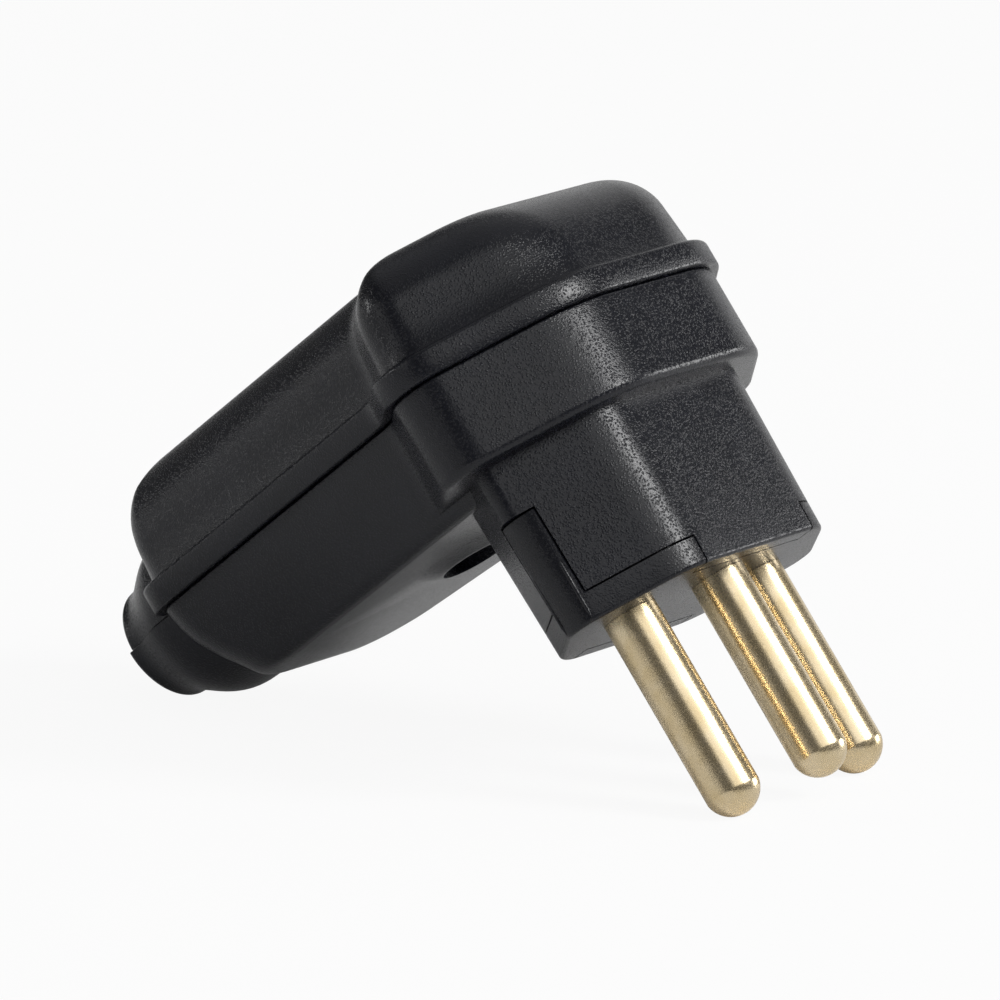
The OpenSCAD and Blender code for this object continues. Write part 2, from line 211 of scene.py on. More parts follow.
class HousingSizes(bpy.types.PropertyGroup):
    """Sizes of the two moulded halves of the housing."""

    shoulder_step: length("Shoulder", "Overhang of the shoulder beyond the long sides of the nose", 3.3)
    tip_step: length("Tip overhang", "Overhang of the head's sharp tips beyond those of the nose", 5.0)
    head_half_flat: length("Head half flat", "Half length of the head's long side to sharp corners", 10.4)
    shoulder_r: length("Shoulder radius", "Rounding of the shoulder's lower edge", 0.8)
    parting_z: length("Parting height", "Height of the parting plane above the end face", 23.5)
    parting_gap: length("Parting gap", "Gap of the parting line", 0.06)
    edge_r: length("Parting edge", "Rounding of the base's edge at the parting line", 0.15)
    cover_h: length("Cover height", "Height of the cover above the parting plane", 11.7)
    wall: length("Wall", "Wall of the housing", 2.0)
    arm_half_root: length("Arm root", "Half width of the arm where it leaves the head", 16.2)
    arm_half_end: length("Arm end", "Half width of the arm at its end", 10.8)
    arm_end: length("Arm reach", "Distance of the arm's end from the middle of the nose", 41.5)
    arm_drop: length("Arm depth", "Depth of the arm below the parting plane", 9.5)
    front_r: length("Front radius", "Radius at the front corners", 12.0)
    tip_r: length("Tip radius", "Radius at the tips and at the arm's end", 4.0)
    crease_r: length("Crease radius", "Radius of the hollow between head and arm", 4.0)
    dome_r: length("Dome radius", "Radius of the cover's upper edge on the slanted sides", 5.0)
    dome_root_r: length("Root dome radius", "Radius of the upper edge where head and arm meet", 6.0)
    dome_arm_r: length("Arm dome radius", "Radius of the upper edge along the arm", 6.2)
    dome_front_r: length("Front dome radius", "Radius of the upper edge at the front", 6.6)
    dome_end_r: length("End dome radius", "Radius of the upper edge at the arm's end", 6.5)
    lip_out: length("Lip", "How far the cover's lip stands out beyond the base", 0.8)
    lip_h: length("Lip height", "Height of the lip", 2.4)
    lip_step: length("Lip step", "Step from the lip in to the dome", 1.2)
    lip_r: length("Lip radius", "Rounding of the lip's upper edge", 0.35)
    screw_y: length("Screw place", "Distance of the cover screw behind the nose's middle", 17.0)
    screw_d: length("Screw", "Shank diameter of the cover screw", 3.5)
    screw_head_d: length("Screw head", "Head diameter of the cover screw", 6.0)
    screw_head_h: length("Head height", "Height of the cover screw's head", 2.2)
    boss_r: length("Boss", "Radius at the foot of the raised cone around the screw hole", 5.7)
    boss_h: length("Boss height", "Height of that cone below the keel", 0.8)
    clamp_back: length("Clamp place", "Distance of the cord clamp in front of the arm's end", 10.5)
    clamp_w: length("Clamp width", "Width of the clamp strap", 5.2)


class OutletSizes(bpy.types.PropertyGroup):
    """Sizes of the cable outlet."""

    outer_d: length("Outlet", "Outer diameter of the outlet", 10.9)
    reach: length("Reach", "Length of the outlet beyond the arm", 7.95)
    cable_d: length("Cable hole", "Diameter of the cable hole", 8.0)
    upper_inset: length("Upper inset", "How far the cover's half stays inside the base's half", 0.5)
    flare: length("Flare", "How far the root flares out at the arm", 2.62)
    flare_len: length("Flare length", "Length of that flare", 7.3)
    rim_r: length("Rim radius", "Radius of the outlet's rim", 0.6)


class PinSizes(bpy.types.PropertyGroup):
    """Sizes of the contact pins."""

    diameter: length("Diameter", "Diameter of each contact pin", 4.8)
    reach: length("Reach", "Length of a pin outside the nose", 19.0)
    live_pitch: length("Live pitch", "Distance between the two live pins", 19.0)
    earth_offset: length("Earth offset", "Offset of the earth pin from the live pins' line", 3.0)
    tip_h: length("Tip height", "Height of the rounded tip", 2.0)
    shank_d: length("Shank", "Diameter of the shank inside the carrier", 4.0)
    head_d: length("Terminal", "Diameter of the terminal head", 6.2)
    head_h: length("Terminal height", "Height of the terminal head", 7.5)
    screw_d: length("Terminal screw", "Shank diameter of the terminal screw", 3.0)


class FinishLooks(bpy.types.PropertyGroup):
    """Colours and textures of the finishes."""

    plastic: colour("Housing black", "Colour of the moulded housing", (0.0068, 0.0074, 0.0112))
    insulator: colour("Carrier black", "Colour of the pin carrier", (0.0072, 0.0077, 0.0108))
    brass: colour("Brass", "Colour of the contact pins", (0.76, 0.63, 0.405))
    zinc: colour("Zinc", "Colour of the screws", (0.60, 0.61, 0.63))
    grain: length("Grain", "Size of the moulded grain", 0.20)
    grain_depth: length("Grain depth", "Depth of the moulded grain", 0.031)
    housing_rough: share("Housing roughness", "Roughness of the housing between its grain", 0.25)
    carrier_rough: share("Carrier roughness", "Roughness of the carrier between its grain", 0.27)
    carrier_grain: share("Carrier grain", "Share of the grain's depth on the carrier", 0.7)


class StageLooks(bpy.types.PropertyGroup):
    """Camera, lamps and floor."""

    camera_at: FloatVectorProperty(
        name="Camera place", description="Place of the camera", size=3, subtype="TRANSLATION",
        default=(0.78202, 0.49856, 0.20835),
    )
    camera_turn: FloatVectorProperty(
        name="Camera turn", description="Turn of the camera about X, Y and Z", size=3, subtype="EULER",
        default=tuple(math.radians(a) for a in (77.79082, -0.82100, 123.68848)),
    )
    lens: FloatProperty(
        name="Lens", description="Focal length in millimetres", default=413.36, unit="CAMERA"
    )
    floor: colour("Floor", "Colour of the table", (0.94, 0.94, 0.94))
    floor_white: share("Floor white", "Share of plain white in the table", 0.92)
    floor_mirrored: share("Mirrored floor", "Share of plain white in the mirrored table", 0.1)
    room_mirrored: share("Mirrored room", "Share of plain white in the mirrored room", 0.05)
    near: share("Near", "Strength of the room's light on the camera's side", 0.06)
    far: share("Far", "Strength of the room's light behind the plug", 0.85)
    key: watts("Key", "Power of the lamp on the pins' side", 8.5)
    fill: watts("Fill", "Power of the lamp beside the key", 3.6)
    top: watts("Top", "Power of the overhead lamp", 3.2)
    side: watts("Side", "Power of the low lamp at the left", 3.6)
    back: watts("Back", "Power of the lamp behind the outlet", 1.8)
    right: watts("Right", "Power of the broad lamp at the right", 1.2)


GROUPS = {
    "plug_nose": NoseSizes,
    "plug_housing": HousingSizes,
    "plug_outlet": OutletSizes,
    "plug_pins": PinSizes,
    "plug_finish": FinishLooks,
    "plug_stage": StageLooks,
}


def sizes(group):
    """The lengths of a property group as plain numbers in millimetres."""
    return SimpleNamespace(**{k: getattr(group, k) / MM for k in group.__annotations__})


def rest_tilt(scene):
    """Tilt at which the live pins' tips and the outlet's rim touch one level table.

    The rim's rounding has its centre back and rise away from that of a tip's ball, so the tilt is
    atan(rise / back) + asin((ball - rim) / sqrt(back^2 + rise^2)).
    """
    pin, out, hou = sizes(scene.plug_pins), sizes(scene.plug_outlet), sizes(scene.plug_housing)
    ball = tip_ball(pin)
    back = hou.arm_end + out.reach - out.rim_r
    rise = hou.parting_z - out.outer_d / 2 + out.rim_r + pin.reach - ball
    return math.atan2(rise, back) + math.asin((ball - out.rim_r) / math.hypot(back, rise))


def tip_ball(pin):
    """Radius of the ball that the tip of a pin is cut from: (r^2 + h^2) / 2h."""
    return ((pin.diameter / 2) ** 2 + pin.tip_h**2) / (2 * pin.tip_h)


def both_sides(right):
    """Plan points up the right side, then the same down the left."""
    right = np.asarray(right, float)
    return np.vstack([right, right[::-1] * (-1, 1)])


def both(values):
    """Values up the right side, then the same down the left."""
    return np.concatenate([values, values[::-1]])


def left_of(u):
    """Plan vectors turned a quarter to the left, which is inwards on an outline."""
    return np.stack([-u[..., 1], u[..., 0]], -1)


def outline(points, radii, insets):
    """Rounded outlines of a polygon: one ring for each row of insets, one inset for each side.

    Radii are given for each corner, or for each ring and corner. Side i runs from corner i to the
    next. Each corner moves to where its two sides, shifted in by their insets a and b, cross. With
    their inward normals m and n and c = m . n, it moves by (a (m - c n) + b (n - c m)) / (1 - c^2).
    An arc of the corner's radius touches both sides; an outside radius shrinks with the inset and an
    inside one stays. Straight sides get evenly spaced points.
    """
    p = np.asarray(points, float)
    u = p - np.roll(p, 1, 0)
    u /= np.linalg.norm(u, axis=1, keepdims=True)
    v = np.roll(u, -1, 0)
    m, n = left_of(u), left_of(v)
    dot, cross = (u * v).sum(1), u[:, 0] * v[:, 1] - u[:, 1] * v[:, 0]
    after = np.asarray(insets, float)
    before = np.roll(after, 1, 1)
    sine_sq = 1 - (m * n).sum(1) ** 2
    step_m = (m - dot[:, None] * n) / sine_sq[:, None]
    step_n = (n - dot[:, None] * m) / sine_sq[:, None]
    moved = p + before[..., None] * step_m + after[..., None] * step_n
    outside = cross > 0
    r = np.asarray(radii, float)
    r = np.where(outside, np.maximum(r - (before + after) / 2, SMALLEST_CORNER), r)
    side = np.where(outside, 1.0, -1.0)
    miter = (m + n) / (1 + dot)[:, None]
    centre = moved + miter * (side * r)[..., None]
    first = -m * side[:, None]
    start = np.arctan2(first[:, 1], first[:, 0])
    angle = start[:, None] + np.arctan2(cross, dot)[:, None] * np.linspace(0, 1, ARC_STEPS + 1)
    arc = centre[:, :, None] + r[..., None, None] * np.stack([np.cos(angle), np.sin(angle)], -1)
    t = np.linspace(0, 1, SIDE_STEPS + 2)[1:-1, None]
    straight = arc[:, :, -1:] * (1 - t) + np.roll(arc, -1, 1)[:, :, :1] * t
    return np.concatenate([arc, straight], 2).reshape(len(after), -1, 2)


def skin(rings):
    """Closed skin through rings of equal count: quads between the rings and two end caps."""
    count, m = rings.shape[:2]
    i = np.arange(m)
    base = (np.arange(count - 1) * m)[:, None]
    nxt = (i + 1) % m
    quads = np.stack([base + i, base + nxt, base + m + nxt, base + m + i], -1).reshape(-1, 4)
    caps = [i[::-1].tolist(), (i + (count - 1) * m).tolist()]
    return rings.reshape(-1, 3), quads.tolist() + caps


def loft(points, radii, levels):
    """Skin through rounded outlines; a level is [height, inset] or [height, inset of each side]."""
    levels = np.asarray(levels, float)
    insets = levels[:, 1:] * np.ones((1, len(points)))
    plan = outline(points, radii, insets)
    height = np.broadcast_to(levels[:, :1, None], plan.shape[:2] + (1,))
    return skin(np.concatenate([plan, height], 2))


def turned(profile, steps=ROUND_STEPS):
    """Profile of [radius, height] points turned about Z, with a cap at each end."""
    profile = np.asarray(profile, float)
    a = np.linspace(0, 2 * np.pi, steps, endpoint=False)
    r = np.maximum(profile[:, :1], POLE_R)
    rings = np.stack([r * np.cos(a), r * np.sin(a), profile[:, 1:] + 0 * a], -1)
    return skin(rings)


def block(low, high):
    """Box between two corners, as a skin through two rings of four points."""
    (x0, y0, z0), (x1, y1, z1) = low, high
    ring = np.array([[x0, y0], [x1, y0], [x1, y1], [x0, y1]], float)
    rings = np.stack([np.column_stack([ring, np.full(4, z)]) for z in (z0, z1)])
    return skin(rings)


def slab(low, high):
    """Block between two heights that reaches past the plug on every side."""
    return block((-PAST, -PAST, low), (PAST, PAST, high))


def shifted(shape, by):
    """The same shape moved."""
    verts, faces = shape
    return verts + np.asarray(by, float), faces


def along_cable(shape, z):
    """A shape about Z laid along the cable: its height runs towards -Y, at height z."""
    verts, faces = shape
    return np.stack([verts[:, 0], -verts[:, 2], verts[:, 1] + z], 1), faces


def smooth_through(knots, steps):
    """Curve through the knots by cubic segments whose slope at a knot is half the step across it."""
    k = np.asarray(knots, float)
    p = np.vstack([2 * k[0] - k[1], k, 2 * k[-1] - k[-2]])
    a, b, c, d = (p[i:len(p) - 3 + i, None] for i in range(4))
    t = np.linspace(0, 1, steps, endpoint=False)[:, None]
    seg = 0.5 * (2 * b + (c - a) * t + (2 * a - 5 * b + 4 * c - d) * t**2 + (3 * b - a - 3 * c + d) * t**3)
    return np.vstack([seg.reshape(-1, k.shape[1]), k[-1:]])


def quarter(steps):
    """Angles of a quarter turn."""
    return np.linspace(0, math.pi / 2, steps + 1)


def put(name, shape):
    """A new object with the shape's mesh, still in millimetres and in the plug's own axes."""
    verts, faces = shape
    mesh = bpy.data.meshes.new(name)
    mesh.from_pydata(verts.tolist(), [], faces)
    mesh.validate()
    obj = bpy.data.objects.new(name, mesh)
    bpy.context.scene.collection.objects.link(obj)
    return obj


def join(obj, operation, *shapes):
    """Unites obj with the shapes, cuts them out of it or keeps what they share, exactly."""
    for shape in shapes:
        tool = put("tool", shape)
        step = obj.modifiers.new("step", "BOOLEAN")
        step.solver, step.operation, step.object = "EXACT", operation, tool
        graph = bpy.context.evaluated_depsgraph_get()
        made = bpy.data.meshes.new_from_object(obj.evaluated_get(graph))
        spent = obj.data, tool.data
        obj.modifiers.clear()
        obj.data = made
        bpy.data.objects.remove(tool)
        for mesh in spent:
            bpy.data.meshes.remove(mesh)
        if not made.polygons:
            raise RuntimeError(f"{obj.name}: {operation} left nothing")
    return obj


def settle(obj, material, slot, *nodes):
    """Tips the finished piece to its rest, in metres, shades it and ties it to the frame."""
    mesh = obj.data
    mesh.transform(Matrix.Rotation(rest_tilt(bpy.context.scene), 4, "X") @ Matrix.Scale(MM, 4))
    mesh.shade_smooth()
    mesh.set_sharp_from_angle(angle=SHARP_ANGLE)
    mesh.materials.clear()
    mesh.materials.append(material)
    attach(obj, BODY)
    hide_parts(*nodes)
    return obj


def grown(points, by):
    """Polygon whose sides have all moved out: a corner moves by -(m + n) / (1 + m . n) times that."""
    u = points - np.roll(points, 1, 0)
    u /= np.linalg.norm(u, axis=1, keepdims=True)
    m, n = left_of(u), left_of(np.roll(u, -1, 0))
    return points - by * (m + n) / (1 + (m * n).sum(1, keepdims=True))


def plans(scene):
    """Plan polygons of the nose, head, body and arm, listed up the right side and down the left."""
    nose, hou = sizes(scene.plug_nose), sizes(scene.plug_housing)
    hexagon = both_sides([[nose.half_flat, -nose.half_w], [nose.half_l, 0], [nose.half_flat, nose.half_w]])
    head_w = nose.half_w + hou.shoulder_step
    tip = [nose.half_l + hou.tip_step, 0]
    head = both_sides([[hou.head_half_flat, -head_w], tip, [hou.head_half_flat, head_w]])
    slant = (head[1, 1] - head[0, 1]) / (head[1, 0] - head[0, 0])
    crease_y = -(head[1, 0] - hou.arm_half_root) * slant
    slope = (hou.arm_half_root - hou.arm_half_end) / (hou.arm_end + crease_y)
    body = both_sides([[hou.arm_half_end, -hou.arm_end], [hou.arm_half_root, crease_y], head[1], head[2]])
    keel_y = nose.half_w - 2
    root = hou.arm_half_root + (keel_y - crease_y) * slope
    arm = both_sides([[hou.arm_half_end, -hou.arm_end], [root, keel_y]])
    return SimpleNamespace(nose=hexagon, head=head, body=body, arm=arm, slope=slope)


def nose_form(scene, tip_r):
    """Hexagonal nose: the plan leans out with the height, and its end face has a rounded rim."""
    nose = sizes(scene.plug_nose)
    a = quarter(5)
    z = np.append(nose.rim_r * (1 - np.cos(a)), nose.height + 2)
    inset = np.append(nose.rim_r * (1 - np.sin(a)), 0) - z * nose.draft / nose.height
    radii = both([nose.edge_r, tip_r, nose.edge_r])
    return loft(plans(scene).nose, radii, np.column_stack([z, inset]))


def nose_core(scene, inset, low, high):
    """Upright prism inside the nose, a given inset from its sides."""
    nose = sizes(scene.plug_nose)
    radii = both([nose.edge_r, SMALLEST_CORNER, nose.edge_r])
    return loft(plans(scene).nose, radii, [[low, inset], [high, inset]])


def base_form(scene):
    """Lower half of head and arm as one skin: the arm's sides follow a full round keel, while the
    head's sides stand straight above a rounded shoulder and draw in below it, inside the nose."""
    nose, hou = sizes(scene.plug_nose), sizes(scene.plug_housing)
    top, keel, h = hou.parting_z, hou.parting_z - hou.arm_drop, nose.height
    low_knots = [[keel + z, inset] for z, inset in KEEL_KNOTS]
    curve = smooth_through(low_knots + [[top + z, inset] for z, inset in ARM_KNOTS], 6)
    rim = h + hou.shoulder_r * (1 - np.cos(quarter(7)))
    edge = top - np.linspace(hou.edge_r, 0, 6)
    z = np.unique(np.concatenate([curve[:, 0], [h - 0.01], rim, edge]))
    arm = np.interp(z, curve[:, 0], curve[:, 1])
    up = np.clip((z - h) / hou.shoulder_r, 0, 1)
    rounded = hou.shoulder_r * (1 - np.sqrt(1 - (1 - up) ** 2))
    head = np.where(z < h, TUCK + TUCK_SLOPE * (h - z), rounded)
    insets = np.repeat(head[:, None], 8, 1)
    insets[:, [0, 6, 7]] = arm[:, None] * (1, 1, END_LEAN)
    insets += hou.edge_r * np.clip(1 - (top - z) / hou.edge_r, 0, 1)[:, None] ** 2
    radii = np.repeat([both([hou.tip_r, hou.crease_r, hou.tip_r, hou.front_r])], len(z), 0)
    depth = np.clip((top - z) / hou.arm_drop, 0, 1)
    radii[:, [0, 7]] += (END_GROWTH * arm + KEEL_GROWTH * depth**2)[:, None]
    return loft(plans(scene).body, radii, np.column_stack([z, insets]))


def cover_form(scene):
    """Upper half: a lip with a rounded edge, a ledge with a fine groove, and a domed upper edge.

    On a side whose dome has the radius r, the inset at height z is r - sqrt(r^2 - (z - top + r)^2).
    """
    hou = sizes(scene.plug_housing)
    low = hou.parting_z + hou.parting_gap
    lip, top = hou.parting_z + hou.lip_h, hou.parting_z + hou.cover_h
    inner = hou.lip_step - hou.lip_out
    a = quarter(5)
    low_levels = np.vstack([
        [[low + z, -hou.lip_out + inset] for z, inset in LIP_EDGE],
        np.column_stack([lip - hou.lip_r * (1 - np.sin(a)), -hou.lip_out + hou.lip_r * (1 - np.cos(a))]),
        [[lip + z, inset] for z, inset in LIP_GROOVE],
        [lip + DOME_START, inner],
    ])
    low_levels = np.column_stack([low_levels[:, 0], np.repeat(low_levels[:, 1:], 8, 1)])
    right = [hou.dome_arm_r, hou.dome_root_r, hou.dome_r]
    r = np.array([*right, hou.dome_front_r, *right[::-1], hou.dome_end_r])
    z = top - r.max() * (1 - np.sin(quarter(22)))[:, None]
    dome = r - np.sqrt(np.maximum(r**2 - np.maximum(z - top + r, 0) ** 2, 0))
    draft = DOME_DRAFT * np.clip((z - lip) / DOME_DRAFT_H, 0, 1)
    radii = both([hou.tip_r, hou.crease_r, hou.tip_r, hou.front_r])
    levels = np.vstack([low_levels, np.column_stack([z, inner + draft + dome])])
    return loft(plans(scene).body, radii, levels)


def outlet_form(scene, diameter):
    """Cable outlet turned about the cable: a rounded rim and a root that swells towards the arm.

    At a share t of the flare's length the radius is r + flare (1 + cos(pi t^p)) / 2, p the swell's power.
    """
    out, hou = sizes(scene.plug_outlet), sizes(scene.plug_housing)
    t = np.linspace(0, 1, 17)
    flared = out.flare * (0.5 + 0.5 * np.cos(np.pi * t**SWELL_POWER))
    swell = np.column_stack([diameter / 2 + flared, hou.arm_end + out.flare_len * t])
    a = quarter(7)
    end = hou.arm_end + out.reach
    rim = np.column_stack([
        diameter / 2 - out.rim_r * (1 - np.cos(a)), end - out.rim_r * (1 - np.sin(a))
    ])
    root = [[diameter / 2 + out.flare, hou.arm_end - 3]]
    return along_cable(turned(np.vstack([root, swell, rim])), hou.parting_z)


def tube(diameter, low, high, at=(0, 0), steps=48):
    """Round bar along Z between two heights."""
    return shifted(turned([[diameter / 2, low], [diameter / 2, high]], steps), (*at, 0))


def cable_bar(scene, diameter, near, far):
    """Round bar along the cable between two distances behind the nose."""
    bar = turned([[diameter / 2, near], [diameter / 2, far]])
    return along_cable(bar, sizes(scene.plug_housing).parting_z)


def clamp_spots(scene):
    """Plan places of the two posts of the cord clamp."""
    hou = sizes(scene.plug_housing)
    room = hou.arm_half_end + (hou.clamp_back - hou.clamp_w / 2) * plans(scene).slope
    half = room - (hou.lip_step - hou.lip_out) - hou.wall - POST_GAP - hou.clamp_w / 2
    y = -(hou.arm_end - hou.clamp_back)
    return [(-half, y), (half, y)]


def make_base(scene, material):
    """Base of the housing with its nose, half outlet, chamber, posts and screw seat."""
    nose, hou, out = sizes(scene.plug_nose), sizes(scene.plug_housing), sizes(scene.plug_outlet)
    plan, top, keel = plans(scene), hou.parting_z, hou.parting_z - hou.arm_drop
    end = hou.arm_end + out.reach
    obj = put("housing_base", base_form(scene))
    join(obj, "UNION", nose_form(scene, nose.tip_r), outlet_form(scene, out.outer_d))
    join(
        obj, "DIFFERENCE",
        slab(top, top + PAST),
        nose_core(scene, nose.wall, -1, top + 1),
        loft(plan.head, both([hou.front_r, hou.tip_r, hou.front_r]), [
            [nose.height + hou.wall, hou.wall + 0.9], [nose.height + hou.wall + 0.9, hou.wall + 0.1],
            [top + 2, hou.wall + 0.1]]),
        loft(plan.arm, np.full(4, hou.tip_r), [
            [keel + hou.wall, 6], [keel + hou.wall + 0.8, 5],
            [top - 5, hou.wall + 1], [top + 3, hou.wall + 0.3]]),
        cable_bar(scene, out.cable_d, hou.arm_end - HOLE_DEPTH, end + 1),
    )
    seat = keel + hou.screw_head_h + SCREW_SUNK
    at = (0, -hou.screw_y)
    strap = top + out.cable_d / 2 - STRAP_BITE
    posts = [tube(hou.clamp_w, top - POST_DEPTH, strap, spot) for spot in clamp_spots(scene)]
    sleeve = tube(hou.screw_head_d + 2 * hou.wall + HEAD_PLAY, keel + 1, top - 0.02, at)
    join(obj, "UNION", sleeve, *posts)
    rim_r, low = hou.screw_head_d / 2 + BOSS_RIM, keel - hou.boss_h
    edge = [rim_r + BOSS_EDGE[0], low + BOSS_EDGE[1]]
    cone = turned([[rim_r, low], edge, [hou.boss_r, keel + 0.1], [hou.boss_r, keel + 1]])
    join(obj, "UNION", shifted(cone, (*at, 0)))
    mid = hou.arm_end - hou.clamp_back
    ledge, seam_y = out.cable_d / 2 + SEAM_LEDGE, -hou.arm_end - SEAM_START
    join(
        obj, "DIFFERENCE",
        tube(hou.screw_d + SHANK_PLAY, low - 1, top + 1, at),
        tube(hou.screw_head_d + HEAD_PLAY, low - 1, seat, at, ROUND_STEPS),
        block((-PAST, -PAST, top - SEAM_STEP), (-ledge, seam_y, top + 1)),
        block((ledge, -PAST, top - SEAM_STEP), (PAST, seam_y, top + 1)),
        cable_bar(scene, out.cable_d + CLAMP_PLAY, mid - 2 * hou.clamp_w, mid + 2 * hou.clamp_w),
    )
    join(obj, "DIFFERENCE", *carrier_window(nose, nose.fit_gap))
    return settle(obj, material, "housing", "base_shell")


def carrier_window(nose, gap):
    """Space of the carrier where it shows, grown by gap: an end plate and a latch tab at each tip.

    A tab's block ends a little inside the plate's, so that no two of their outer faces share a plane.
    """
    near, w = nose.plate_x + nose.fit_gap - gap, nose.tab_half_w + gap
    plate = (near, -30, -1), (30, 30, nose.plate_t + gap)
    tab = (nose.half_l - nose.tab_depth, -w, -0.9), (29, w, nose.tab_h + gap)
    turned_over = [((-high[0], *low[1:]), (-low[0], *high[1:])) for low, high in (plate, tab)]
    return [block(low, high) for low, high in (plate, tab, *turned_over)]


def make_cover(scene, material):
    """Cover of the housing with its half outlet, chamber and screw boss."""
    hou, out = sizes(scene.plug_housing), sizes(scene.plug_outlet)
    low, top = hou.parting_z + hou.parting_gap, hou.parting_z + hou.cover_h
    end = hou.arm_end + out.reach
    obj = put("housing_cover", cover_form(scene))
    join(obj, "UNION", outlet_form(scene, out.outer_d - 2 * out.upper_inset))
    inner = grown(plans(scene).body, -(hou.lip_step - hou.lip_out + hou.wall))
    roof = top - hou.wall
    join(
        obj, "DIFFERENCE",
        slab(low - PAST, low),
        loft(inner, both([2, 1, 1.2, 3]), [
            [low - 2, 0], [roof - 3.6, 0.3], [roof - 1.5, 1], [roof - 0.5, 2.1], [roof, 3.4]]),
        cable_bar(scene, out.cable_d, hou.arm_end - HOLE_DEPTH, end + 1),
    )
    at = (0, -hou.screw_y)
    join(obj, "UNION", tube(hou.screw_d + 2 * hou.wall + 0.5, low + 0.01, top - hou.wall / 2, at))
    join(obj, "DIFFERENCE", tube(hou.screw_d + SHANK_PLAY, low - 1, roof - 2, at))
    return settle(obj, material, "housing", "top_cover")


def pin_places(scene):
    """Plan places of the line, neutral and earth pins."""
    pin = sizes(scene.plug_pins)
    return {
        "line_pin": (pin.live_pitch / 2, 0),
        "neutral_pin": (-pin.live_pitch / 2, 0),
        "earth_pin": (0, pin.earth_offset),
    }


def make_carrier(scene, material):
    """Pin carrier: an end plate and two latch tabs cut to the nose's own faces, fine ribs that run
    out up the tabs' rounded tips, and a block with pin holes."""
    nose, pin = sizes(scene.plug_nose), sizes(scene.plug_pins)
    first, *others = carrier_window(nose, 0)
    obj = put("pin_holder", first)
    join(obj, "UNION", *others, nose_core(scene, nose.wall + nose.fit_gap, -0.3, nose.carrier_h))
    join(obj, "INTERSECT", nose_form(scene, nose.tab_tip_r))
    lean = math.atan2(nose.half_w, nose.half_l - nose.half_flat)
    rib_x = nose.half_l - nose.tab_tip_r / math.sin(lean) + math.sqrt(nose.tab_tip_r**2 - nose.rib_y**2)
    thick, h = nose.rib_d / 2, nose.tab_h
    rib = turned([[POLE_R, nose.rim_r], [thick, 3 * nose.rim_r], [thick, 0.5 * h], [POLE_R, 0.7 * h]], 24)
    join(obj, "UNION", *[
        shifted(rib, (x, y, 0)) for x in (-rib_x, rib_x) for y in (-nose.rib_y, nose.rib_y)
    ])
    for at in pin_places(scene).values():
        join(obj, "DIFFERENCE", tube(pin.shank_d + 2 * nose.fit_gap, -1, nose.carrier_h + 1, at))
    return settle(obj, material, "insulator", "pin_carrier")


def make_pins(scene, material):
    """Contact pins turned from one profile: a ball tip with a faint edge, a straight round pin, a
    thinner shank and a terminal head."""
    nose, pin = sizes(scene.plug_nose), sizes(scene.plug_pins)
    r, ball = pin.diameter / 2, tip_ball(pin)
    widest = math.asin(min(r / ball, 1))
    if pin.tip_h > ball:
        widest = math.pi - widest
    a = np.linspace(0, widest, 25)
    tip = np.column_stack([ball * np.sin(a), -pin.reach + ball * (1 - np.cos(a))])
    foot, top = nose.carrier_h, nose.carrier_h + pin.head_h
    shank, head, bore = pin.shank_d / 2, pin.head_d / 2, pin.screw_d / 2 + BORE_PLAY
    rest = [
        [r, -pin.reach + pin.tip_h + TIP_EDGE], [r, -PIN_CHAMFER], [r - PIN_CHAMFER, 0],
        [shank, RING_RISE], [shank, foot],
        [head - HEAD_CHAMFER, foot + RING_RISE], [head, foot + HEAD_CHAMFER],
        [head, top - HEAD_CHAMFER], [head - HEAD_CHAMFER, top],
        [bore, top + RING_RISE], [bore, top - pin.head_h + BORE_FLOOR],
    ]
    for name, at in pin_places(scene).items():
        obj = put("contact_" + name, shifted(turned(np.vstack([tip, rest])), (*at, 0)))
        settle(obj, material, "contact", name)


def new_material(name):
    """Empty node material: its tree and its shader."""
    material = bpy.data.materials.new(name)
    material.use_nodes = True
    return material, material.node_tree, material.node_tree.nodes["Principled BSDF"]


def add(tree, kind, links=None, **values):
    """A node with its socket values set; links gives the output that feeds a socket."""
    made = tree.nodes.new(kind)
    for key, value in values.items():
        if key in made.inputs:
            made.inputs[key].default_value = value
        else:
            setattr(made, key, value)
    for key, output in (links or {}).items():
        tree.links.new(output, made.inputs[key])
    return made


def noise(tree, vector, size, detail=2.0, rough=0.5):
    """Noise whose features are about size millimetres wide."""
    scale = 1 / (size * MM)
    return add(tree, "ShaderNodeTexNoise", {"Vector": vector}, Scale=scale, Detail=detail, Roughness=rough)


def ranged(tree, value, low, high, to_low, to_high, kind="LINEAR"):
    """Value carried from one range to another, kept inside it."""
    made = add(tree, "ShaderNodeMapRange", {"Value": value}, interpolation_type=kind)
    for key, number in zip(("From Min", "From Max", "To Min", "To Max"), (low, high, to_low, to_high)):
        made.inputs[key].default_value = number
    return made.outputs["Result"]


def blended(tree, a, b, factor):
    """Two heights blended, a share of factor from the second."""
    made = add(tree, "ShaderNodeMix", {"A": a, "B": b}, data_type="FLOAT")
    made.inputs["Factor"].default_value = factor
    return made.outputs["Result"]


def raised(tree, shader, height, depth):
    """Relief of a given depth in millimetres."""
    bump = add(tree, "ShaderNodeBump", {"Height": height}, Strength=1.0, Distance=depth * MM)
    tree.links.new(bump.outputs["Normal"], shader.inputs["Normal"])


def tinted(tree, shader, spread, dark, light):
    """Base colour that wanders between a dark and a light tone."""
    tint = add(tree, "ShaderNodeMix", {"Factor": spread}, data_type="RGBA")
    tint.inputs["A"].default_value = (*dark, 1)
    tint.inputs["B"].default_value = (*light, 1)
    tree.links.new(tint.outputs["Result"], shader.inputs["Base Color"])


def times(rgb, *factors):
    """Colour times one factor, or one for each channel, kept within one."""
    return np.minimum(np.array(rgb) * factors, 1).tolist()


